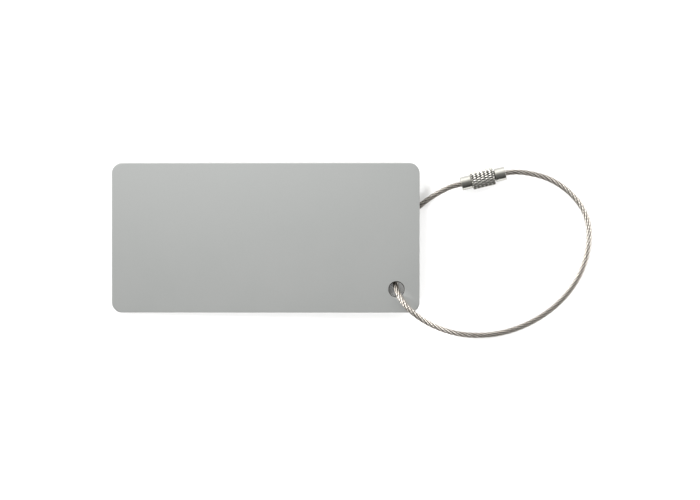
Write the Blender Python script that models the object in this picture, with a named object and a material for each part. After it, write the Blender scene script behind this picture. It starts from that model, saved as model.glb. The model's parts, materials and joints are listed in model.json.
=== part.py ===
"""Luggage tag: a flat metal plate on a loop of wire rope that a screw clasp closes.

The tag lies on the ground, which is z = 0, with +X along the plate towards its hole. The
loop passes under the plate and comes up through the hole, so it props that end of the plate.
"""

import math

import bmesh
import bpy
import numpy as np
from mathutils import Matrix, Vector

MM = 0.001

# The plate
PLATE_LENGTH = 85.4 * MM
PLATE_WIDTH = 41.5 * MM
PLATE_THICKNESS = 1.0 * MM
CORNER_RADIUS = 2.8 * MM
CORNER_STEPS = 12
EDGE_BREAK = 0.15 * MM
PLATE_TILT = math.radians(2.2)  # its far end touches the ground

# The hole that the loop passes through
HOLE_FROM_END = 6.4 * MM
HOLE_FROM_SIDE = 6.45 * MM
HOLE_RADIUS = 2.05 * MM
HOLE_BREAK = 0.25 * MM
HOLE_STEPS = 48
BREAK_STEPS = 3  # facets round each broken edge

# The wire rope, laid from the captive ferrule to the stud
ROPE_RADIUS = 0.75 * MM
ROPE_POINTS = 78
ROPE_ROUTE_MM = [
    # from the captive ferrule down under the plate's end
    (53.95, 14.78, 2.40), (51.80, 14.23, 2.36), (49.10, 13.05, 2.10), (46.00, 11.25, 1.54),
    (43.10, 9.10, 1.05), (40.25, 6.30, 0.82), (37.90, 2.70, 0.80), (36.30, -1.60, 0.80),
    # up through the hole
    (35.70, -5.75, 0.80), (35.62, -7.75, 0.82), (35.65, -9.35, 0.98), (35.75, -10.95, 1.42),
    (35.90, -12.35, 2.10), (36.12, -13.60, 2.95), (36.50, -14.92, 4.12), (37.05, -16.15, 5.02),
    # over the plate's corner and down to the ground
    (37.80, -17.40, 5.68), (38.75, -18.68, 6.10), (40.00, -20.05, 6.25), (41.75, -21.55, 6.05),
    (43.85, -22.98, 5.35), (46.50, -24.40, 4.15), (49.85, -25.72, 2.80), (53.95, -26.72, 1.70),
    # round the open side of the loop
    (58.50, -27.10, 1.02), (63.30, -26.80, 0.80), (69.30, -25.32, 0.80), (74.70, -22.88, 0.80),
    (79.50, -19.65, 0.80), (83.60, -15.65, 0.80), (86.85, -10.80, 0.80), (88.95, -5.45, 0.80),
    (89.75, 0.20, 0.80), (89.10, 5.40, 0.80), (86.80, 9.80, 0.82), (83.10, 13.55, 0.98),
    # up to the stud
    (78.40, 16.35, 1.46), (73.60, 17.72, 2.02), (69.70, 18.18, 2.33), (66.75, 17.94, 2.40),
]

# The clasp, along its own axis from the nut's middle, towards the stud
CLASP_X = 60.2 * MM
CLASP_Y = 16.33 * MM
CLASP_TURN = math.radians(13.9)
GAP = 0.3 * MM  # between pieces that turn or slide in each other
NUT_RADIUS = 2.4 * MM
NUT_HALF_LENGTH = 3.2 * MM
NUT_CHAMFER = 0.25 * MM
NUT_BACK_WALL = 1.0 * MM
NUT_THREAD_RADIUS = 1.8 * MM
FERRULE_RADIUS = 1.8 * MM
CAPTIVE_END = 6.15 * MM
STUD_END = 6.45 * MM
FERRULE_CHAMFER = 0.15 * MM
SOCKET_RADIUS = 0.85 * MM
SOCKET_DEPTH = 2.4 * MM
NECK_RADIUS = 1.1 * MM
HEAD_LENGTH = 0.9 * MM
THREAD_RADIUS = NUT_THREAD_RADIUS - GAP
TURN_STEPS = 32

ALUMINIUM_GREY = (0.45, 0.46, 0.455, 1.0)
STEEL_GREY = (0.62, 0.60, 0.57, 1.0)


def metal(name, color, roughness):
    """A metal material."""
    material = bpy.data.materials.new(name)
    material.use_nodes = True
    shader = material.node_tree.nodes["Principled BSDF"]
    shader.inputs["Base Color"].default_value = color
    shader.inputs["Metallic"].default_value = 1.0
    shader.inputs["Roughness"].default_value = roughness
    return material


def add_object(name, data, material, parent=None, place=Matrix()):
    """Links an object; place is its matrix under its parent."""
    thing = bpy.data.objects.new(name, data)
    bpy.context.scene.collection.objects.link(thing)
    data.materials.append(material)
    thing.parent = parent
    thing.matrix_basis = place
    return thing


def add_pivot(name, parent=None, place=Matrix()):
    """An empty on a joint's axis, which the pieces that move about it hang on."""
    pivot = bpy.data.objects.new(name, None)
    bpy.context.scene.collection.objects.link(pivot)
    pivot.empty_display_size = 3 * MM
    pivot.parent = parent
    pivot.matrix_basis = place
    return pivot


# The plate


def corner_points(x, y, radius, start):
    """A quarter circle about (x, y), anticlockwise from the angle start."""
    angles = [start + math.pi / 2 * k / CORNER_STEPS for k in range(CORNER_STEPS + 1)]
    return [(x + radius * math.cos(a), y + radius * math.sin(a)) for a in angles]


def plate_outline(inset):
    """The plate's outline, moved in by inset."""
    x = PLATE_LENGTH / 2 - CORNER_RADIUS
    y = PLATE_WIDTH / 2 - CORNER_RADIUS
    points = []
    for quarter, (sx, sy) in enumerate([(1, 1), (-1, 1), (-1, -1), (1, -1)]):
        points += corner_points(sx * x, sy * y, CORNER_RADIUS - inset, quarter * math.pi / 2)
    return points


def hole_centre():
    """The hole's centre, from the plate's middle."""
    return PLATE_LENGTH / 2 - HOLE_FROM_END, HOLE_FROM_SIDE - PLATE_WIDTH / 2


def hole_outline(inset):
    """The hole's outline, with the plate's edge moved back from it by inset."""
    x, y = hole_centre()
    angles = [math.tau * k / HOLE_STEPS for k in range(HOLE_STEPS)]
    radius = HOLE_RADIUS + inset
    return [(x + radius * math.cos(a), y + radius * math.sin(a)) for a in angles]


def edge_profile(radius):
    """(inset, height) round an edge with both corners broken, from the plate's back up."""
    angles = [math.pi / 2 * k / BREAK_STEPS for k in range(BREAK_STEPS + 1)]
    lower = [(radius * (1 - math.sin(a)), radius * (1 - math.cos(a))) for a in angles]
    upper = [(inset, PLATE_THICKNESS - height) for inset, height in reversed(lower)]
    return [(inset, height - PLATE_THICKNESS / 2) for inset, height in lower + upper]


def add_wall(bm, outline, radius):
    """A wall of quads round an outline; returns its lowest and highest rings of edges."""
    rings = []
    for inset, height in edge_profile(radius):
        rings.append([bm.verts.new((x, y, height)) for x, y in outline(inset)])
    count = len(rings[0])
    for low, high in zip(rings, rings[1:]):
        for i in range(count):
            j = (i + 1) % count
            bm.faces.new((low[i], low[j], high[j], high[i]))
    ends = []
    for ring in (rings[0], rings[-1]):
        ends.append([bm.edges.get((ring[i], ring[(i + 1) % count])) for i in range(count)])
    return ends


def plate_mesh():
    """The plate with its hole, about its own middle."""
    bm = bmesh.new()
    outer = add_wall(bm, plate_outline, EDGE_BREAK)
    inner = add_wall(bm, hole_outline, HOLE_BREAK)
    for rim, hole in zip(outer, inner):
        bmesh.ops.triangle_fill(bm, use_beauty=True, use_dissolve=False, edges=rim + hole)
    bmesh.ops.recalc_face_normals(bm, faces=bm.faces)
    mesh = bpy.data.meshes.new("tag_plate")
    bm.to_mesh(mesh)
    bm.free()
    mesh.shade_smooth()
    mesh.set_sharp_from_angle(angle=math.radians(20))
    return mesh


def plate_place():
    """The plate's place: tilted, with the lower edge of its far end on the ground."""
    reach = PLATE_LENGTH / 2 - EDGE_BREAK
    height = reach * math.sin(PLATE_TILT) + PLATE_THICKNESS / 2 * math.cos(PLATE_TILT)
    return Matrix.Translation((0, 0, height)) @ Matrix.Rotation(-PLATE_TILT, 4, "Y")


# The wire rope


def smooth_curve(points, count):
    """count points, evenly spaced, on a natural cubic spline through the given points."""
    knots = np.array(points, float)
    at = np.r_[0, np.cumsum(np.linalg.norm(np.diff(knots, axis=0), axis=1))]
    step = np.diff(at)
    size = len(knots)
    system = np.eye(size)
    target = np.zeros((size, 3))
    for i in range(1, size - 1):
        system[i, i - 1 : i + 2] = step[i - 1], 2 * (step[i - 1] + step[i]), step[i]
        rise = (knots[i + 1] - knots[i]) / step[i]
        target[i] = 6 * (rise - (knots[i] - knots[i - 1]) / step[i - 1])
    bend = np.linalg.solve(system, target)

    def point(s):
        i = min(max(np.searchsorted(at, s) - 1, 0), size - 2)
        a, b, h = at[i + 1] - s, s - at[i], step[i]
        curved = (bend[i] * a**3 + bend[i + 1] * b**3) / (6 * h)
        return curved + (knots[i] / h - bend[i] * h / 6) * a + (
            knots[i + 1] / h - bend[i + 1] * h / 6
        ) * b

    fine = np.array([point(s) for s in np.linspace(0, at[-1], 40 * size)])
    run = np.r_[0, np.cumsum(np.linalg.norm(np.diff(fine, axis=0), axis=1))]
    even = np.linspace(0, run[-1], count)
    return np.stack([np.interp(even, run, fine[:, k]) for k in range(3)], axis=1)


def add_rope(pivot, material):
    """The rope as one plain tube, its ends a gap away from the two ferrules."""
    path = smooth_curve(np.array(ROPE_ROUTE_MM) * MM, ROPE_POINTS)
    path -= np.array(pivot.matrix_basis.translation)
    curve = bpy.data.curves.new("wire_rope", "CURVE")
    curve.dimensions = "3D"
    curve.bevel_depth = ROPE_RADIUS
    curve.bevel_resolution = 2
    curve.use_fill_caps = True
    line = curve.splines.new("POLY")
    line.points.add(ROPE_POINTS - 1)
    for spot, (x, y, z) in zip(line.points, path):
        spot.co = (x, y, z, 1)
    return add_object("wire_rope", curve, material, pivot)


# The clasp


def turned(name, profile, closed):
    """A mesh turned about Z from (radius, height) points.

    A closed profile goes all the way round a section, and an open one starts and ends on
    the axis.
    """
    bm = bmesh.new()
    rings = []
    for radius, height in profile:
        if radius == 0:
            rings.append([bm.verts.new((0, 0, height))] * TURN_STEPS)
            continue
        angles = [math.tau * k / TURN_STEPS for k in range(TURN_STEPS)]
        ring = [(radius * math.cos(a), radius * math.sin(a), height) for a in angles]
        rings.append([bm.verts.new(spot) for spot in ring])
    pairs = list(zip(rings, rings[1:]))
    if closed:
        pairs.append((rings[-1], rings[0]))
    for low, high in pairs:
        for i in range(TURN_STEPS):
            j = (i + 1) % TURN_STEPS
            corners = list(dict.fromkeys((low[i], low[j], high[j], high[i])))
            bm.faces.new(corners)
    bmesh.ops.recalc_face_normals(bm, faces=bm.faces)
    mesh = bpy.data.meshes.new(name)
    bm.to_mesh(mesh)
    bm.free()
    mesh.shade_smooth()
    mesh.set_sharp_from_angle(angle=math.radians(35))
    return mesh


def nut_mesh():
    """The lock nut: a sleeve whose back wall holds the captive ferrule's head."""
    end = NUT_HALF_LENGTH
    shoulder = -end + NUT_BACK_WALL
    passage = NECK_RADIUS + GAP
    rim = NUT_RADIUS - NUT_CHAMFER
    profile = [
        (passage, -end),
        (rim, -end),
        (NUT_RADIUS, -end + NUT_CHAMFER),
        (NUT_RADIUS, end - NUT_CHAMFER),
        (rim, end),
        (NUT_THREAD_RADIUS, end),
        (NUT_THREAD_RADIUS, shoulder),
        (passage, shoulder),
    ]
    return turned("lock_nut", profile, closed=True)


def socket_profile(end):
    """The blind socket and the outer end of a ferrule, from the axis outwards."""
    return [
        (0, end - SOCKET_DEPTH),
        (SOCKET_RADIUS, end - SOCKET_DEPTH),
        (SOCKET_RADIUS, end),
        (FERRULE_RADIUS - FERRULE_CHAMFER, end),
        (FERRULE_RADIUS, end - FERRULE_CHAMFER),
    ]


def captive_ferrule_mesh():
    """The captive ferrule: socket, barrel, neck, and the head inside the nut."""
    barrel_end = NUT_HALF_LENGTH + GAP
    head_back = NUT_HALF_LENGTH - NUT_BACK_WALL - GAP
    profile = socket_profile(CAPTIVE_END) + [
        (FERRULE_RADIUS, barrel_end + FERRULE_CHAMFER),
        (FERRULE_RADIUS - FERRULE_CHAMFER, barrel_end),
        (NECK_RADIUS, barrel_end),
        (NECK_RADIUS, head_back),
        (THREAD_RADIUS, head_back),
        (THREAD_RADIUS, head_back - HEAD_LENGTH),
        (0, head_back - HEAD_LENGTH),
    ]
    # it faces away from the stud, so its profile is mirrored
    return turned("captive_ferrule", [(r, -s) for r, s in profile], closed=False)


def stud_tip():
    """Where the screwed-in stud ends: a gap away from the captive ferrule's head."""
    return -(NUT_HALF_LENGTH - NUT_BACK_WALL - GAP - HEAD_LENGTH) + GAP


def stud_mesh():
    """The stud: the second ferrule and its threaded shank in one piece."""
    shoulder = NUT_HALF_LENGTH + GAP
    profile = socket_profile(STUD_END) + [
        (FERRULE_RADIUS, shoulder + FERRULE_CHAMFER),
        (FERRULE_RADIUS - FERRULE_CHAMFER, shoulder),
        (THREAD_RADIUS, shoulder),
        (THREAD_RADIUS, stud_tip() + NUT_CHAMFER),
        (THREAD_RADIUS - NUT_CHAMFER, stud_tip()),
        (0, stud_tip()),
    ]
    return turned("threaded_stud", profile, closed=False)


def clasp_place(pivot):
    """The clasp's frame under the loop's pivot: its +Z runs along the clasp to the stud."""
    middle = Vector((CLASP_X, CLASP_Y, NUT_RADIUS)) - pivot.matrix_basis.translation
    lie = Matrix.Rotation(math.pi / 2, 4, "Y")
    return Matrix.Translation(middle) @ Matrix.Rotation(CLASP_TURN, 4, "Z") @ lie


def build():
    """The whole tag."""
    for thing in list(bpy.data.objects):
        bpy.data.objects.remove(thing)
    plate_metal = metal("plate_aluminium", ALUMINIUM_GREY, 0.5)
    rope_steel = metal("rope_steel", STEEL_GREY, 0.35)
    clasp_steel = metal("clasp_steel", STEEL_GREY, 0.2)

    plate = add_object("tag_plate", plate_mesh(), plate_metal, place=plate_place())
    hole = plate.matrix_basis @ Vector((*hole_centre(), 0))
    loop = add_pivot("loop_pivot", place=Matrix.Translation(hole))
    add_rope(loop, rope_steel)
    clasp = add_pivot("clasp_axis", loop, clasp_place(loop))
    add_object("captive_ferrule", captive_ferrule_mesh(), clasp_steel, clasp)
    add_object("lock_nut", nut_mesh(), clasp_steel, clasp)
    add_object("threaded_stud", stud_mesh(), clasp_steel, clasp)


build()
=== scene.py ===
"""Looks of the luggage tag: a matt metal plate on a loop of stranded wire rope.

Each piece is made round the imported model: the plate with its broken edges, the rope as
twisted strands of wire, and the screw clasp with its knurl and its thread.
"""

import json
import math

import bmesh
import bpy
import numpy as np
from mathutils import Matrix, Vector


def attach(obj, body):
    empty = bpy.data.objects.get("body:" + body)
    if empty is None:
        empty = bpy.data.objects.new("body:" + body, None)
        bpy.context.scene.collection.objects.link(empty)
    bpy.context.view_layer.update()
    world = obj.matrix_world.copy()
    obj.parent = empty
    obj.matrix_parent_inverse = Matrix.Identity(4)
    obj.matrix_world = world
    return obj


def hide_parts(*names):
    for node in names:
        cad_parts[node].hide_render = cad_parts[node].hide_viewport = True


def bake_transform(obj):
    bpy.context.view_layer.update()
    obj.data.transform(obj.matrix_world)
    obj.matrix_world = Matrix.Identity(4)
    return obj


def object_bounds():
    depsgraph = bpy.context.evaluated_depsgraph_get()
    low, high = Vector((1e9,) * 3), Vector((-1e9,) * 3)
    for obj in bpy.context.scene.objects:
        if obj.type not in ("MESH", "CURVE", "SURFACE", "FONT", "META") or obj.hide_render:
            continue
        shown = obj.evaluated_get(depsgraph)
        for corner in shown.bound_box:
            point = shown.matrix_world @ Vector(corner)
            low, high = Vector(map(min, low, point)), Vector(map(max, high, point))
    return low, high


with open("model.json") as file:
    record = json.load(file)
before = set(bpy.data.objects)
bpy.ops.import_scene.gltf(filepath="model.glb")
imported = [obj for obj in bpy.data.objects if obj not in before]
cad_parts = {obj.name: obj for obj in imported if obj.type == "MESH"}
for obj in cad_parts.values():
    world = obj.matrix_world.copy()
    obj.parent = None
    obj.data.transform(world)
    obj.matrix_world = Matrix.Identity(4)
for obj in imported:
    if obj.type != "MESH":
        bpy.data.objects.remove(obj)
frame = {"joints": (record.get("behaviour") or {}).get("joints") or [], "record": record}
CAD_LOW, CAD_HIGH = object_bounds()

MM = 0.001
JOINTS = {joint["name"]: joint for joint in frame["joints"]}
MOUNTS = {mount["name"]: mount for mount in frame["record"]["mounts"]}

# The camera looks straight down through a long lens
CAMERA_HEIGHT = 1.2
CAMERA_CLIP = (0.01, 20.0)
VIEW_WIDTH = 194.4 * MM
VIEW_SHIFT = (-0.52 * MM, 0.13 * MM)  # from the middle of the part
SENSOR_WIDTH = 36.0

# The plate
PLATE_LENGTH = 85.4 * MM
PLATE_WIDTH = 41.5 * MM
CORNER_RADIUS = 2.8 * MM
EDGE_BREAK = 0.15 * MM
HOLE_FROM_END = 6.4 * MM
HOLE_FROM_SIDE = 6.45 * MM
HOLE_RADIUS = 2.05 * MM
HOLE_BREAK = 0.25 * MM
HOLE_X = PLATE_LENGTH / 2 - HOLE_FROM_END
HOLE_Y = HOLE_FROM_SIDE - PLATE_WIDTH / 2
CORNER_STEPS = 24
HOLE_STEPS = 96
BREAK_STEPS = 6
FLAT_WEIGHT = 100  # keeps the flat faces flat in the shading

# The wire rope: six strands round a seventh, each of six wires round a seventh
OUTER = 6
ROPE_LAY = 11.0 * MM  # right-hand
WIRE_LAY = 3.7 * MM  # left-hand, against the strand, so that the wires run straight
STRAND_ORBIT = 0.5 * MM
WIRE_STEP = 0.37 * MM  # along the rope from ring to ring
# each wire of a strand: its two shoulders and the groove beyond it (degrees, radius)
WIRE_PROFILE = [(-15.0, 0.247 * MM), (15.0, 0.247 * MM), (30.0, 0.19 * MM)]
# painted shade in the rope's hollows, by how near a point lies to the rope's axis
ROPE_UNSHADED = 0.74 * MM  # from the rope's axis; nearer than this it has painted shade
ROPE_FULL_SHADE = 0.66 * MM
FLUTE_SHADE = 0.5  # of the painted shade that lies between two strands, put in the groove beyond each wire
TINT_SEED = 4
ROUTE_FINENESS = 60  # points of the fine line for each knot
ROPE_ROUTE_MM = [
    # from the captive ferrule down under the plate's end
    (53.95, 14.78, 2.40), (51.80, 14.23, 2.36), (49.10, 13.05, 2.10),
    (46.00, 11.25, 1.54), (43.10, 9.10, 1.05), (40.25, 6.30, 0.82),
    (37.90, 2.70, 0.80), (36.30, -1.60, 0.80),
    # up through the hole
    (35.70, -5.75, 0.80), (35.62, -7.75, 0.82), (35.65, -9.35, 0.98),
    (35.75, -10.95, 1.42), (35.90, -12.35, 2.10), (36.12, -13.60, 2.95),
    (36.50, -14.92, 4.12), (37.05, -16.15, 5.02),
    # over the plate's corner and down to the ground
    (37.80, -17.40, 5.68), (38.75, -18.68, 6.10), (40.00, -20.05, 6.25),
    (41.75, -21.55, 6.05), (43.85, -22.98, 5.35), (46.50, -24.40, 4.15),
    (49.85, -25.72, 2.80), (53.95, -26.72, 1.70),
    # round the open side of the loop
    (58.50, -27.10, 1.02), (63.30, -26.80, 0.80), (69.30, -25.32, 0.80),
    (74.70, -22.88, 0.80), (79.50, -19.65, 0.80), (83.60, -15.65, 0.80),
    (86.85, -10.80, 0.80), (88.95, -5.45, 0.80), (89.75, 0.20, 0.80),
    (89.10, 5.40, 0.80), (86.80, 9.80, 0.82), (83.10, 13.55, 0.98),
    # up to the stud
    (78.40, 16.35, 1.46), (73.60, 17.72, 2.02), (69.70, 18.18, 2.33),
    (66.75, 17.94, 2.40),
]
ROPE_SPLIT_AFTER = 9  # the route's point, under the plate, where its two runs meet

# The clasp, along its own axis from the nut's middle, towards the stud
NUT_RADIUS = 2.4 * MM
NUT_HALF_LENGTH = 3.2 * MM
NUT_CHAMFER = 0.25 * MM
NUT_BACK_WALL = 1.0 * MM
NUT_CHAMBER_RADIUS = 1.8 * MM
NUT_COUNTERSINK = 0.15 * MM
NUT_THREAD_END = 0.3 * MM  # inside its mouth
GAP = 0.3 * MM
SNUG = 0.05 * MM  # between the captive ferrule's barrel and the nut
FERRULE_RADIUS = 1.8 * MM
CAPTIVE_END = 6.15 * MM
STUD_END = 6.45 * MM
FERRULE_ROUND = 0.15 * MM
SOCKET_RADIUS = 0.85 * MM
SOCKET_DEPTH = 2.4 * MM
SOCKET_CHAMFER = 0.1 * MM
ROPE_IN_SOCKET = 2.1 * MM
NECK_RADIUS = 1.1 * MM
HEAD_RADIUS = 1.5 * MM
HEAD_LENGTH = 0.9 * MM
HEAD_BACK = NUT_HALF_LENGTH - NUT_BACK_WALL - GAP  # both from the nut's middle
HEAD_FRONT = HEAD_BACK - HEAD_LENGTH
THREAD_PITCH = 0.5 * MM
STUD_CREST = 1.47 * MM
STUD_ROOT = 1.19 * MM
THREAD_CLEARANCE = 0.05 * MM
THREAD_FLAT = 0.125  # of its height, cut off at the crest and at the root
THREAD_CREST_LESS_SHADE = 0.75  # how much less painted shade its crest has than its root
THREAD_RUNOUT = 0.1 * MM
THREAD_ROWS = 10  # per pitch
KNURL_STARTS = 21
KNURL_PITCH = 2.2 * MM
KNURL_DEPTH = 0.1 * MM
KNURL_NOTCH = 0.11 * MM  # the sharp bottom of its grooves
KNURL_NOTCH_END = 0.4  # of the way to each diamond's middle
KNURL_FLAT = 0.75  # and where its top is flat
KNURL_ROWS = 90
NUT_STEPS = 252
TURN_STEPS = 72
ROUND_STEPS = 4
SHARP_ANGLE = 32.0
# how much painted shade a ring of the clasp has, which is down to -1 where it is rubbed
# bright
UNSHADED, FAINT, LIGHT, HALF, HEAVY, FULL_SHADE = 0.0, 0.3, 0.4, 0.5, 0.6, 1.0

# Metals: each noise is (lumps a metre, detail, roughness)
METAL_TINT = (0.5, 0.5, 0.5, 1.0)
GROOVE_ROUGHER = 0.2
ROUGH_SPAN = (0.3, 0.7)  # of a noise, for the whole range of roughness

PLATE_CLOUDS = (45.0, 3.0, 0.6)
PLATE_GRAIN = (5200.0, 2.0, 0.7)
PLATE_SPECKLE = (1900.0, 1.0, 0.5)
PLATE_DARK = (0.483, 0.498, 0.492, 1.0)
PLATE_LIGHT = (0.499, 0.512, 0.507, 1.0)
PLATE_CLOUD_SPAN = (0.35, 0.65)
PLATE_SPECK = (0.43, 0.441, 0.437, 1.0)
PLATE_SPECK_SHARE = 0.10
PLATE_SPECK_SPAN = (0.45, 0.75)
PLATE_EDGE = (0.50, 0.51, 0.505, 1.0)
PLATE_EDGE_SHARE = 0.6
# painted shade on the hole's wall
PLATE_HOLE_SHADE = (0.10, 0.095, 0.09, 1.0)
PLATE_ROUGH = (0.47, 0.51)
PLATE_EDGE_SMOOTHER = 0.14
PLATE_BUMP = 0.006 * MM

WIRE_SMEAR = (700.0, 3.0, 0.6)
WIRE_SCUFF = (4200.0, 2.0, 0.6)
WIRE_WARM = (0.67, 0.625, 0.565, 1.0)
WIRE_COOL = (0.605, 0.575, 0.53, 1.0)
WIRE_DULL = (0.42, 0.37, 0.325, 1.0)
WIRE_DULL_SHARE = 0.45
WIRE_DULL_SPAN = (0.45, 0.75)
# the painted shade in the rope's grooves, and how much of it is shown
WIRE_GROOVE_SHADE = (0.045, 0.036, 0.030, 1.0)
WIRE_GROOVE_SHADE_SHARE = 0.75
WIRE_ROUGH = (0.13, 0.26)
WIRE_BUMP = 0.004 * MM

STEEL_STRETCH = (0.12, 0.12, 1.0)  # draws the turning marks out round the axis
STEEL_RINGS = (9000.0, 2.0, 0.6)
STEEL_CLOUDS = (900.0, 3.0, 0.6)
STEEL_BRIGHT = (0.515, 0.51, 0.475, 1.0)
STEEL_HAZE = (0.46, 0.455, 0.42, 1.0)
STEEL_HAZE_SPAN = (0.35, 0.7)
STEEL_RUBBED = (0.70, 0.69, 0.64, 1.0)
# the painted shade in the clasp's hollows, and how much of it is shown
STEEL_SHADE = (0.06, 0.057, 0.048, 1.0)
STEEL_SHADE_SHARE = 0.85
STEEL_ROUGH = (0.13, 0.22)
STEEL_BUMP = 0.002 * MM

# The studio: a surround, and lights that each fall on one thing alone
# (direction, strength, power) of the surround's soft glows
BACK_GLOW = ((-0.28, 0.95, 0.06), 2.1, 2.1)
RIGHT_GLOW = ((0.93, 0.32, 0.15), 1.3, 3.2)
LEFT_GLOW = ((-0.98, -0.16, 0.10), 1.2, 3.2)
ZENITH = 0.28
FRONT_SHADE = 0.75  # how much of the surround is gone towards the front
FRONT_SHADE_POWER = 1.4
SURROUND_TINT = (1.0, 0.99, 0.97, 1.0)
FLOOR_HALF_SIZE = 6.0
FLOOR_COLOR = (0.8, 0.8, 0.8, 1.0)
FLOOR_ROUGH = 0.9
FLOOR_LIGHTS = [(45, 2.0), (135, 1.5), (225, 1.5), (315, 2.0)]  # (azimuth, strength)
FLOOR_LIGHTS_UP = 40.0  # degrees above the ground
FLOOR_LIGHT_WIDTH = 25.0  # degrees across, as are the others
# (name, the way to it, strength) of the rope's soft side lights
ROPE_LIGHTS = [
    ("right", (0.94, 0.28, 0.18), 4.3),
    ("left", (-0.96, 0.02, 0.20), 5.6),
]
ROPE_LIGHT_WIDTH = 72.0
NUT_LIGHT_WAY = (-0.25, 0.86, 0.44)  # from behind, for the knurl
NUT_LIGHT = 2.0
NUT_LIGHT_WIDTH = 40.0
PLATE_LIGHT_POWER = 0.33
PLATE_LIGHT_PLACE = (-0.062, 0.135, 0.40)
PLATE_LIGHT_SIZE = 0.1


# Mesh tools


def add_piece(name, mesh, material, body, place=Matrix()):
    """A piece that rides on a body; place is its matrix in the frame."""
    piece = bpy.data.objects.new(name, mesh)
    bpy.context.scene.collection.objects.link(piece)
    mesh.materials.append(material)
    piece.matrix_world = place
    if body:
        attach(piece, body)
    return piece


def add_values(mesh, **values):
    """Gives a mesh float attributes, with one number for each point."""
    for key, numbers in values.items():
        layer = mesh.attributes.new(key, "FLOAT", "POINT")
        layer.data.foreach_set("value", np.asarray(numbers, np.float32))


def mesh_from(name, points, faces, **values):
    """A smooth mesh with float attributes."""
    mesh = bpy.data.meshes.new(name)
    mesh.from_pydata([tuple(p) for p in points], [], faces)
    add_values(mesh, **values)
    mesh.shade_smooth()
    return mesh


def grid_faces(rows, columns, start=0, closed=False):
    """Quads between rows of points, each row a closed ring of columns points."""
    faces = []
    for r in range(rows if closed else rows - 1):
        low, high = start + r * columns, start + (r + 1) % rows * columns
        for c in range(columns):
            d = (c + 1) % columns
            faces.append((low + c, low + d, high + d, high + c))
    return faces


# The camera


def add_camera():
    """A camera straight above the part."""
    data = bpy.data.cameras.new("camera")
    data.sensor_width = SENSOR_WIDTH
    data.lens = SENSOR_WIDTH * CAMERA_HEIGHT / VIEW_WIDTH
    data.clip_start, data.clip_end = CAMERA_CLIP
    camera = bpy.data.objects.new("camera", data)
    x, y, _ = (CAD_LOW + CAD_HIGH) / 2
    camera.location = (x + VIEW_SHIFT[0], y + VIEW_SHIFT[1], CAMERA_HEIGHT)
    bpy.context.scene.collection.objects.link(camera)
    bpy.context.scene.camera = camera


# Materials


class Nodes:
    """The node tree of a material or a world, with short ways to add to it."""

    def __init__(self, owner):
        owner.use_nodes = True
        self.tree = owner.node_tree

    def add(self, kind, inputs=(), **settings):
        """A node; inputs maps socket names or numbers to values or other sockets."""
        node = self.tree.nodes.new(kind)
        for key, value in settings.items():
            setattr(node, key, value)
        for key, value in dict(inputs).items():
            self.put(node.inputs[key], value)
        return node

    def put(self, socket, value):
        """Sets a socket, or links another socket to it."""
        if isinstance(value, bpy.types.NodeSocket):
            self.tree.links.new(value, socket)
        else:
            socket.default_value = value

    def math(self, operation, first, second):
        """Two numbers combined."""
        inputs = {0: first, 1: second}
        return self.add("ShaderNodeMath", inputs, operation=operation).outputs[0]


class Metal(Nodes):
    """A metal's node tree, with short ways to add what it is made of."""

    def __init__(self, name):
        self.material = bpy.data.materials.new(name)
        super().__init__(self.material)
        self.shader = self.tree.nodes["Principled BSDF"]
        self.put(self.shader.inputs["Metallic"], 1.0)
        self.put(self.shader.inputs["Specular Tint"], METAL_TINT)

    def place(self, stretch=(1.0, 1.0, 1.0)):
        """The piece's own coordinates, in metres, stretched."""
        here = self.add("ShaderNodeTexCoord").outputs["Object"]
        inputs = {"Vector": here, "Scale": stretch}
        return self.add("ShaderNodeMapping", inputs).outputs[0]

    def noise(self, place, scale, detail, rough):
        """Noise of scale lumps a metre, from 0 to 1."""
        inputs = {"Vector": place, "Scale": scale, "Detail": detail, "Roughness": rough}
        return self.add("ShaderNodeTexNoise", inputs).outputs["Fac"]

    def value(self, name):
        """One of the mesh's own float attributes."""
        return self.add("ShaderNodeAttribute", attribute_name=name).outputs["Fac"]

    def spread(self, value, low, high, span=(0.0, 1.0)):
        """The value stretched from its span to low..high, and held there beyond."""
        inputs = {"Value": value, 1: span[0], 2: span[1], 3: low, 4: high}
        return self.add("ShaderNodeMapRange", inputs).outputs["Result"]

    def mix(self, share, first, second):
        """Two colours mixed."""
        node = self.add("ShaderNodeMix", data_type="RGBA")
        self.put(node.inputs[0], share)
        self.put(node.inputs[6], first)
        self.put(node.inputs[7], second)
        return node.outputs[2]

    def finish(self, color, roughness, height, distance):
        """The material, with its colour, roughness and a bump of distance metres."""
        inputs = {"Height": height, "Distance": distance}
        bump = self.add("ShaderNodeBump", inputs).outputs[0]
        self.put(self.shader.inputs["Base Color"], color)
        self.put(self.shader.inputs["Roughness"], roughness)
        self.put(self.shader.inputs["Normal"], bump)
        return self.material


def plate_metal():
    """Bead-blasted metal: a fine grain, faint clouds, bright edges, and painted shade on
    the hole's wall.
    """
    n = Metal("blasted_plate")
    place = n.place()
    clouds = n.noise(place, *PLATE_CLOUDS)
    grain = n.noise(place, *PLATE_GRAIN)
    speckle = n.noise(place, *PLATE_SPECKLE)
    edge = n.value("edge")
    tone = n.mix(n.spread(clouds, 0.0, 1.0, PLATE_CLOUD_SPAN), PLATE_DARK, PLATE_LIGHT)
    specks = n.spread(speckle, 0.0, PLATE_SPECK_SHARE, PLATE_SPECK_SPAN)
    tone = n.mix(specks, tone, PLATE_SPECK)
    tone = n.mix(n.spread(edge, 0.0, PLATE_EDGE_SHARE), tone, PLATE_EDGE)
    # painted shade: the hole's wall and its broken edge are darkened
    tone = n.mix(n.value("hole"), tone, PLATE_HOLE_SHADE)
    smoother = n.spread(edge, 0.0, -PLATE_EDGE_SMOOTHER)
    rough = n.math("ADD", n.spread(clouds, *PLATE_ROUGH, ROUGH_SPAN), smoother)
    return n.finish(tone, rough, grain, PLATE_BUMP)


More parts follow.
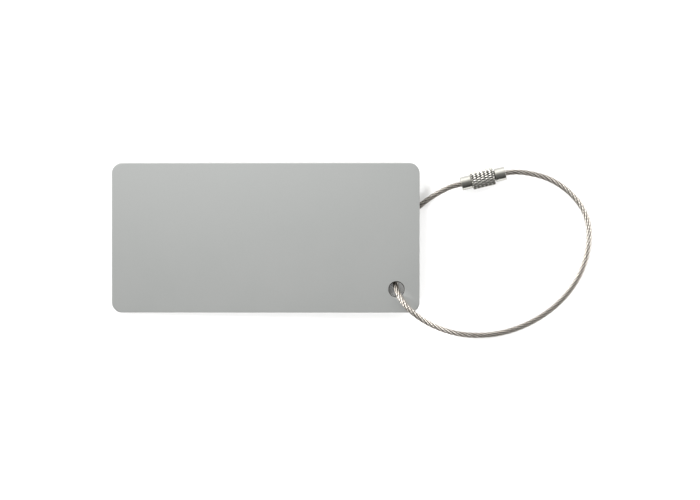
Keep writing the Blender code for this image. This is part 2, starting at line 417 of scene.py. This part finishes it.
def rope_metal():
    """Bright drawn wires, each a little different, with painted shade in the grooves
    between them.
    """
    n = Metal("drawn_wire")
    place = n.place()
    tint = n.value("tint")
    groove = n.value("groove")
    smear = n.noise(place, *WIRE_SMEAR)
    scuff = n.noise(place, *WIRE_SCUFF)
    tone = n.mix(tint, WIRE_WARM, WIRE_COOL)
    tone = n.mix(n.spread(smear, 0.0, WIRE_DULL_SHARE, WIRE_DULL_SPAN), tone, WIRE_DULL)
    # painted shade in the grooves between strands and wires
    tone = n.mix(n.spread(groove, 0.0, WIRE_GROOVE_SHADE_SHARE), tone, WIRE_GROOVE_SHADE)
    rougher = n.spread(groove, 0.0, GROOVE_ROUGHER)
    rough = n.math("ADD", n.spread(scuff, *WIRE_ROUGH, ROUGH_SPAN), rougher)
    return n.finish(tone, rough, scuff, WIRE_BUMP)


def clasp_metal():
    """Polished steel with fine turning marks, rubbed bright on its knurl, with painted
    shade in its hollows.
    """
    n = Metal("turned_steel")
    rings = n.noise(n.place(STEEL_STRETCH), *STEEL_RINGS)
    haze = n.noise(n.place(), *STEEL_CLOUDS)
    groove = n.value("groove")
    tone = n.mix(n.spread(haze, 0.0, 1.0, STEEL_HAZE_SPAN), STEEL_BRIGHT, STEEL_HAZE)
    tone = n.mix(n.spread(groove, 1.0, 0.0, (-1.0, 0.0)), tone, STEEL_RUBBED)
    # painted shade in the clasp's notches, thread roots, sockets, gaps and insides
    shade_and_wear = n.spread(groove, 0.0, STEEL_SHADE_SHARE, (0.0, STEEL_SHADE_SHARE))
    tone = n.mix(shade_and_wear, tone, STEEL_SHADE)
    rougher = n.spread(groove, 0.0, GROOVE_ROUGHER)
    rough = n.math("ADD", n.spread(haze, *STEEL_ROUGH, ROUGH_SPAN), rougher)
    return n.finish(tone, rough, rings, STEEL_BUMP)


# The wire rope


def clasp_frame():
    """The clasp's matrix: its middle, and +Z along it towards the stud."""
    axis = Vector(JOINTS["stud_travel"]["axis"]).normalized()
    side = Vector((0, 0, 1)).cross(axis)
    turn = Matrix((side.cross(axis), side, axis)).transposed()
    return Matrix.Translation(JOINTS["nut_spin"]["pos_m"]) @ turn.to_4x4()


def on_clasp(along):
    """A point on the clasp's axis."""
    return np.array(clasp_frame() @ Vector((0, 0, along)))


def spline(knots):
    """A natural cubic spline through the knots, as a function of its chord length."""
    at = np.r_[0, np.cumsum(np.linalg.norm(np.diff(knots, axis=0), axis=1))]
    step = np.diff(at)
    size = len(knots)
    system = np.eye(size)
    target = np.zeros((size, 3))
    for i in range(1, size - 1):
        system[i, i - 1 : i + 2] = step[i - 1], 2 * (step[i - 1] + step[i]), step[i]
        rise = (knots[i + 1] - knots[i]) / step[i]
        target[i] = 6 * (rise - (knots[i] - knots[i - 1]) / step[i - 1])
    bend = np.linalg.solve(system, target)

    def point(s):
        i = min(max(int(np.searchsorted(at, s)) - 1, 0), size - 2)
        a, b, h = at[i + 1] - s, s - at[i], step[i]
        curved = (bend[i] * a**3 + bend[i + 1] * b**3) / (6 * h)
        return curved + (knots[i] / h - bend[i] * h / 6) * a + (
            knots[i + 1] / h - bend[i + 1] * h / 6
        ) * b

    return point, at


def rope_line():
    """The rope's whole centreline in even steps, and the step at which it is split."""
    first = on_clasp(ROPE_IN_SOCKET - CAPTIVE_END)
    last = on_clasp(STUD_END - ROPE_IN_SOCKET)
    knots = np.vstack([first, np.array(ROPE_ROUTE_MM) * MM, last])
    point, at = spline(knots)
    steps = np.linspace(0, at[-1], ROUTE_FINENESS * len(knots))
    fine = np.array([point(s) for s in steps])
    run = np.r_[0, np.cumsum(np.linalg.norm(np.diff(fine, axis=0), axis=1))]
    count = int(round(run[-1] / WIRE_STEP)) + 1
    even = np.linspace(0, run[-1], count)
    line = np.stack([np.interp(even, run, fine[:, k]) for k in range(3)], axis=1)
    split_at = knots[ROPE_SPLIT_AFTER + 1]
    return line, int(np.linalg.norm(line - split_at, axis=1).argmin())


def unit(vectors):
    """The vectors, one long."""
    return vectors / np.linalg.norm(vectors, axis=-1, keepdims=True)


def untwisted(line):
    """Two directions across each point of a line, carried along it without twist."""
    tangent = unit(np.gradient(line, axis=0))
    side = np.empty_like(tangent)
    side[0] = unit(np.cross(tangent[0], (0.0, 0.0, 1.0)))
    for i in range(1, len(line)):
        side[i] = unit(side[i - 1] - (side[i - 1] @ tangent[i]) * tangent[i])
    return side, np.cross(tangent, side)


def strand_points(line, along, sides, orbit, start):
    """A strand's rings of points round the rope's line."""
    side, other = sides
    turn = math.tau * along / ROPE_LAY + start
    out = np.cos(turn)[:, None] * side + np.sin(turn)[:, None] * other
    centre = line + orbit * out
    tangent = unit(np.gradient(centre, axis=0))
    first = unit(out - (out * tangent).sum(1, keepdims=True) * tangent)
    second = np.cross(tangent, first)
    rings = []
    for wire in range(OUTER):
        for degrees, radius in WIRE_PROFILE:
            angle = math.radians(360 * wire / OUTER + degrees)
            angle = angle - math.tau * along / WIRE_LAY
            spoke = np.cos(angle)[:, None] * first + np.sin(angle)[:, None] * second
            rings.append(centre + radius * spoke)
    return np.stack(rings, axis=1)


def rope_mesh(name, line, sides, along, tints):
    """The middle strand and the outer ones of a stretch of rope."""
    columns = OUTER * len(WIRE_PROFILE)
    points, faces, groove, tint = [], [], [], []
    for strand in range(OUTER + 1):
        orbit = STRAND_ORBIT if strand else 0.0
        rings = strand_points(line, along, sides, orbit, math.tau * strand / OUTER)
        depth = np.linalg.norm(rings - line[:, None], axis=2)
        # painted shade: darker the nearer a point lies to the rope's axis, and in the
        # grooves between wires
        shade_and_wear = np.clip((ROPE_UNSHADED - depth) / (ROPE_UNSHADED - ROPE_FULL_SHADE), 0, 1)
        flute = np.tile([0.0, 0.0, FLUTE_SHADE], OUTER)
        start = len(points)
        points += [p for ring in rings for p in ring]
        faces += grid_faces(len(rings), columns, start)
        faces.append(tuple(range(start + columns - 1, start - 1, -1)))
        faces.append(tuple(range(len(points) - columns, len(points))))
        groove += list(np.maximum(shade_and_wear, flute).ravel())
        tint += list(np.repeat(tints[strand], len(WIRE_PROFILE))) * len(rings)
    return mesh_from(name, points, faces, groove=groove, tint=tint)


def add_rope(material):
    """The rope in two runs, which meet under the plate with their wires in line."""
    line, split = rope_line()
    side, other = untwisted(line)
    along = np.arange(len(line)) * np.linalg.norm(line[1] - line[0])
    tints = np.random.default_rng(TINT_SEED).random((OUTER + 1, OUTER))
    runs = []
    for name, part in (
        ("rope_under_plate", slice(0, split + 1)),
        ("rope_open_run", slice(split, len(line))),
    ):
        sides = side[part], other[part]
        mesh = rope_mesh(name, line[part], sides, along[part], tints)
        runs.append((add_piece(name, mesh, material, None), line[part]))
    return runs


# The plate


def circle_points(x, y, radius, angles):
    """The points of a circle about (x, y) at some angles."""
    return [(x + radius * math.cos(a), y + radius * math.sin(a)) for a in angles]


def plate_outline(inset):
    """The plate's outline, moved in by inset."""
    x = PLATE_LENGTH / 2 - CORNER_RADIUS
    y = PLATE_WIDTH / 2 - CORNER_RADIUS
    points = []
    for quarter, (sx, sy) in enumerate([(1, 1), (-1, 1), (-1, -1), (1, -1)]):
        start = quarter * math.pi / 2
        steps = range(CORNER_STEPS + 1)
        angles = [start + math.pi / 2 * k / CORNER_STEPS for k in steps]
        points += circle_points(sx * x, sy * y, CORNER_RADIUS - inset, angles)
    return points


def hole_outline(inset):
    """The hole's outline, with the plate's edge moved back from it by inset."""
    angles = [math.tau * k / HOLE_STEPS for k in range(HOLE_STEPS)]
    return circle_points(HOLE_X, HOLE_Y, HOLE_RADIUS + inset, angles)


def edge_profile(radius, thickness):
    """(inset, height) round an edge with both corners broken, from the back up."""
    angles = [math.pi / 2 * k / BREAK_STEPS for k in range(BREAK_STEPS + 1)]
    lower = [(radius * (1 - math.sin(a)), radius * (1 - math.cos(a))) for a in angles]
    upper = [(inset, thickness - height) for inset, height in reversed(lower)]
    return [(inset, height - thickness / 2) for inset, height in lower + upper]


def add_wall(bm, outline, radius, thickness):
    """A wall of quads round an outline; returns its lowest and highest edges."""
    rings = []
    for inset, height in edge_profile(radius, thickness):
        rings.append([bm.verts.new((x, y, height)) for x, y in outline(inset)])
    count = len(rings[0])
    for low, high in zip(rings, rings[1:]):
        for i in range(count):
            j = (i + 1) % count
            bm.faces.new((low[i], low[j], high[j], high[i]))
    ends = []
    for ring in (rings[0], rings[-1]):
        pairs = zip(ring, ring[1:] + ring[:1])
        ends.append([bm.edges.get(pair) for pair in pairs])
    return ends


def add_plate(material):
    """The plate, tilted as it lies, with marks for its edges and for the painted shade on
    the hole's wall.
    """
    front, back = (Vector(MOUNTS[key]["pos_m"]) for key in ("front_face", "back_face"))
    thickness = (front - back).length
    bm = bmesh.new()
    outer = add_wall(bm, plate_outline, EDGE_BREAK, thickness)
    inner = add_wall(bm, hole_outline, HOLE_BREAK, thickness)
    for edges in (outer[0] + inner[0], outer[1] + inner[1]):
        bmesh.ops.triangle_fill(bm, use_beauty=True, use_dissolve=False, edges=edges)
    bmesh.ops.recalc_face_normals(bm, faces=bm.faces)
    mesh = bpy.data.meshes.new("plate")
    bm.to_mesh(mesh)
    bm.free()
    x, y, z = np.array([v.co for v in mesh.vertices]).T
    near_hole = np.hypot(x - HOLE_X, y - HOLE_Y) < HOLE_RADIUS + 2 * HOLE_BREAK
    edge = np.abs(z) < thickness / 2 - 0.01 * EDGE_BREAK
    add_values(mesh, edge=edge, hole=edge & near_hole)
    mesh.shade_smooth()
    normal = Vector(MOUNTS["front_face"]["axis"])
    hole = Vector(JOINTS["loop_swing"]["pos_m"])
    long_way = Vector((0, 1, 0)).cross(normal)
    turn = Matrix((long_way, (0, 1, 0), normal)).transposed().to_4x4()
    place = Matrix.Translation(hole - turn @ Vector((HOLE_X, HOLE_Y, 0))) @ turn
    plate = add_piece("plate", mesh, material, None, place)
    plate.modifiers.new("flat faces", "WEIGHTED_NORMAL").weight = FLAT_WEIGHT
    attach(plate, "tag")
    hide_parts("tag_plate")
    return plate


# The clasp


def turned(name, rings, steps, closed):
    """A mesh turned about Z; each ring is (radius, height, shade), numbers or arrays,
    where shade is painted shade that goes down to -1 where the ring is rubbed bright.

    A closed one goes all the way round a section. An open one has both its ends capped.
    """
    angle = math.tau * np.arange(steps) / steps
    cos, sin = np.cos(angle), np.sin(angle)
    points, groove = [], []
    for ring in rings:
        radius, height, shade_and_wear = (np.broadcast_to(value, steps) for value in ring)
        points.append(np.stack([radius * cos, radius * sin, height], 1))
        groove.append(shade_and_wear)
    faces = grid_faces(len(rings), steps, closed=closed)
    if not closed:
        last = (len(rings) - 1) * steps
        faces.append(tuple(range(steps - 1, -1, -1)))
        faces.append(tuple(range(last, last + steps)))
    mesh = mesh_from(name, np.concatenate(points), faces, groove=np.concatenate(groove))
    bm = bmesh.new()
    bm.from_mesh(mesh)
    bmesh.ops.recalc_face_normals(bm, faces=bm.faces)
    bm.to_mesh(mesh)
    bm.free()
    mesh.set_sharp_from_angle(angle=math.radians(SHARP_ANGLE))
    return mesh


def rounded(corner_radius, corner_height, radius, quarter):
    """A rounded corner's rings; quarter says which way round the circle they go."""
    rings = []
    for k in range(ROUND_STEPS + 1):
        a = quarter * math.pi / 2 + math.pi / 2 * k / ROUND_STEPS
        r = corner_radius + radius * math.cos(a)
        rings.append((r, corner_height + radius * math.sin(a), UNSHADED))
    return rings


def wave(t):
    """A triangle wave: 0 at whole numbers, and 1 halfway between them."""
    return 1 - np.abs(2 * (t % 1.0) - 1)


def thread_rings(root, crest, bottom, top, steps):
    """Rings along a right-hand thread, with painted shade that is lighter towards its
    crest.
    """
    angle = np.arange(steps) / steps
    rows = int(round((top - bottom) / THREAD_PITCH * THREAD_ROWS))
    rings = []
    for z in np.linspace(bottom, top, rows + 1):
        height = wave(z / THREAD_PITCH - angle) * (1 + 2 * THREAD_FLAT) - THREAD_FLAT
        height = np.clip(height, 0, 1)
        shade_and_wear = FULL_SHADE - THREAD_CREST_LESS_SHADE * height
        rings.append((root + (crest - root) * height, z, shade_and_wear))
    return rings


def socket_rings(end):
    """A ferrule's blind socket and outer end, from the socket's floor to the barrel."""
    inner = FERRULE_RADIUS - FERRULE_ROUND
    corner = rounded(inner, end - FERRULE_ROUND, FERRULE_ROUND, 0)
    # painted shade down in the socket, fading out at its mouth
    return [
        (SOCKET_RADIUS, end - SOCKET_DEPTH, FULL_SHADE),
        (SOCKET_RADIUS, end - SOCKET_CHAMFER, LIGHT),
        (SOCKET_RADIUS + SOCKET_CHAMFER, end, UNSHADED),
        *reversed(corner),
    ]


def shoulder_rings(shoulder):
    """The ferrule's inner corner, down to its shoulder."""
    inner = FERRULE_RADIUS - FERRULE_ROUND
    corner = rounded(inner, shoulder + FERRULE_ROUND, FERRULE_ROUND, 3)
    return list(reversed(corner))


def add_captive_ferrule(material):
    """The captive ferrule: barrel, neck, and the head inside the nut."""
    shoulder = NUT_HALF_LENGTH + SNUG
    rings = [
        *socket_rings(CAPTIVE_END),
        *shoulder_rings(shoulder),
        # painted shade on the neck and on the head inside the nut
        (NECK_RADIUS, shoulder, FAINT),
        (NECK_RADIUS, HEAD_BACK, HEAVY),
        (HEAD_RADIUS, HEAD_BACK, HEAVY),
        (HEAD_RADIUS, HEAD_FRONT, HEAVY),
    ]
    # it faces away from the stud, so it is mirrored
    rings = [(radius, -height, shade_and_wear) for radius, height, shade_and_wear in rings]
    mesh = turned("captive_ferrule_metal", rings, TURN_STEPS, closed=False)
    return add_piece("ferrule_captive", mesh, material, "loop", clasp_frame())


def add_stud(material):
    """The stud: a ferrule with a threaded shank, with painted shade on the shank past the
    nut.
    """
    shoulder = NUT_HALF_LENGTH + GAP
    tip = GAP - HEAD_FRONT
    lead = STUD_CREST - STUD_ROOT
    top = shoulder - THREAD_RUNOUT
    shank = thread_rings(STUD_ROOT, STUD_CREST, tip + lead, top, TURN_STEPS)
    # painted shade: the shank past the nut, in the gap, is fully dark
    shank = [(r, z, shade_and_wear if z < NUT_HALF_LENGTH else FULL_SHADE) for r, z, shade_and_wear in shank]
    rings = [
        *socket_rings(STUD_END),
        *shoulder_rings(shoulder),
        (STUD_ROOT, shoulder, HALF),
        *reversed(shank),
        (STUD_ROOT, tip + lead / 2, FAINT),
        (STUD_ROOT - lead, tip, UNSHADED),
    ]
    mesh = turned("stud_metal", rings, TURN_STEPS, closed=False)
    return add_piece("stud_threaded", mesh, material, "stud", clasp_frame())


def knurl_rings():
    """Rings along the nut's outside: a diamond knurl cut off by the two chamfers."""
    around = KNURL_STARTS * np.arange(NUT_STEPS) / NUT_STEPS
    end = NUT_HALF_LENGTH
    rings = []
    for z in np.linspace(-end, end, KNURL_ROWS + 1):
        along = z / KNURL_PITCH
        height = np.minimum(wave(around + along), wave(around - along))
        notch = np.clip(1 - height / KNURL_NOTCH_END, 0, 1)
        slope = np.clip(1 - height / KNURL_FLAT, 0, 1)
        depth = KNURL_DEPTH * slope + KNURL_NOTCH * notch
        cone = NUT_RADIUS - NUT_CHAMFER + (end - abs(z))
        # painted shade in the notches, and rubbed bright on the diamonds
        shade_and_wear = notch**0.5 - np.clip(height / KNURL_NOTCH_END - 1, 0, 1)
        rings.append((np.minimum(NUT_RADIUS - depth, cone), z, shade_and_wear))
    return rings


def add_nut(material):
    """The lock nut: knurled outside, threaded inside, with a back wall."""
    end = NUT_HALF_LENGTH
    shoulder = -end + NUT_BACK_WALL
    passage = NECK_RADIUS + GAP / 2
    crest = STUD_ROOT + THREAD_CLEARANCE
    root = STUD_CREST + THREAD_CLEARANCE
    bottom, top = GAP - HEAD_FRONT, end - NUT_THREAD_END
    thread = thread_rings(crest, root, bottom, top, NUT_STEPS)
    # painted shade: the nut's thread and its inside are fully dark
    thread = [(radius, z, FULL_SHADE) for radius, z, _ in thread]
    rings = [
        *knurl_rings(),
        (root + NUT_COUNTERSINK, end, UNSHADED),
        (root, end - NUT_COUNTERSINK, FAINT),
        *reversed(thread),
        (NUT_CHAMBER_RADIUS, GAP / 2 - HEAD_FRONT, FULL_SHADE),
        (NUT_CHAMBER_RADIUS, shoulder, FULL_SHADE),
        (passage, shoulder, FULL_SHADE),
        (passage, -end, HALF),
    ]
    mesh = turned("nut_metal", rings, NUT_STEPS, closed=True)
    return add_piece("nut_knurled", mesh, material, "nut", clasp_frame())


# The studio


def add_light(kind, name, power, way, things):
    """A light that comes from one way, and falls on some things alone."""
    data = bpy.data.lights.new(name, kind)
    data.energy = power
    light = bpy.data.objects.new(name, data)
    light.location = way
    light.rotation_euler = (-Vector(way)).to_track_quat("-Z", "Y").to_euler()
    bpy.context.scene.collection.objects.link(light)
    lit = bpy.data.collections.new("lit_by_" + name)
    for thing in things:
        lit.objects.link(thing)
    light.light_linking.receiver_collection = lit
    return data


def add_sun(name, strength, way, width, things):
    """A light from far away, width degrees across."""
    add_light("SUN", name, strength, way, things).angle = math.radians(width)


def add_floor():
    """The pale ground, and low lights from all sides that are for the ground alone."""
    half = FLOOR_HALF_SIZE
    corners = [(-half, -half, 0), (half, -half, 0), (half, half, 0), (-half, half, 0)]
    mesh = bpy.data.meshes.new("floor")
    mesh.from_pydata(corners, [], [(0, 1, 2, 3)])
    material = bpy.data.materials.new("paper")
    material.use_nodes = True
    shader = material.node_tree.nodes["Principled BSDF"]
    shader.inputs["Base Color"].default_value = FLOOR_COLOR
    shader.inputs["Roughness"].default_value = FLOOR_ROUGH
    shader.inputs["Specular IOR Level"].default_value = 0.0
    mesh.materials.append(material)
    floor = bpy.data.objects.new("floor", mesh)
    bpy.context.scene.collection.objects.link(floor)
    up = math.radians(FLOOR_LIGHTS_UP)
    level = math.cos(up)
    for azimuth, strength in FLOOR_LIGHTS:
        turn = math.radians(azimuth)
        way = (level * math.sin(turn), -level * math.cos(turn), math.sin(up))
        add_sun(f"floor_light_{azimuth}", strength, way, FLOOR_LIGHT_WIDTH, [floor])


def add_surround():
    """A soft surround: dim above, bright behind and at both sides, dark in front."""
    world = bpy.data.worlds.new("studio")
    bpy.context.scene.world = world
    n = Nodes(world)
    way = n.add("ShaderNodeTexCoord").outputs["Generated"]

    def lobe(direction, power):
        inputs = {0: way, 1: Vector(direction).normalized()}
        dot = n.add("ShaderNodeVectorMath", inputs, operation="DOT_PRODUCT")
        return n.math("POWER", n.math("MAXIMUM", dot.outputs["Value"], 0.0), power)

    total = ZENITH
    for direction, strength, power in (BACK_GLOW, RIGHT_GLOW, LEFT_GLOW):
        glow = n.math("MULTIPLY", lobe(direction, power), strength)
        total = n.math("ADD", glow, total)
    x, y, _ = BACK_GLOW[0]
    shade = n.math("MULTIPLY", lobe((-x, -y, 0), FRONT_SHADE_POWER), FRONT_SHADE)
    total = n.math("MULTIPLY", total, n.math("SUBTRACT", 1.0, shade))
    shader = n.tree.nodes["Background"]
    n.put(shader.inputs["Strength"], total)
    n.put(shader.inputs["Color"], SURROUND_TINT)


def add_studio(plate, rope, nut):
    """The floor, the surround and the lights."""
    add_floor()
    add_surround()
    power, place = PLATE_LIGHT_POWER, PLATE_LIGHT_PLACE
    add_light("AREA", "plate_light", power, place, [plate]).size = PLATE_LIGHT_SIZE
    for side, way, strength in ROPE_LIGHTS:
        add_sun("rope_light_" + side, strength, way, ROPE_LIGHT_WIDTH, rope)
    add_sun("nut_light", NUT_LIGHT, NUT_LIGHT_WAY, NUT_LIGHT_WIDTH, [nut])
    bpy.context.scene.view_settings.view_transform = "Standard"


def build():
    """The whole scene."""
    add_camera()
    wire = rope_metal()
    steel = clasp_metal()
    (under, under_line), (run, run_line) = add_rope(wire)
    ferrule = add_captive_ferrule(steel)
    nut = add_nut(steel)
    stud = add_stud(steel)
    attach(under, "loop")
    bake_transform(run)
    for piece, node, slot in (
        (under, "wire_rope", "rope"),
        (run, "wire_rope", "rope"),
        (ferrule, "captive_ferrule", "clasp"),
        (nut, "lock_nut", "clasp"),
        (stud, "threaded_stud", "clasp"),
    ):
        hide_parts(node)
    add_studio(add_plate(plate_metal()), [under, run], nut)


build()
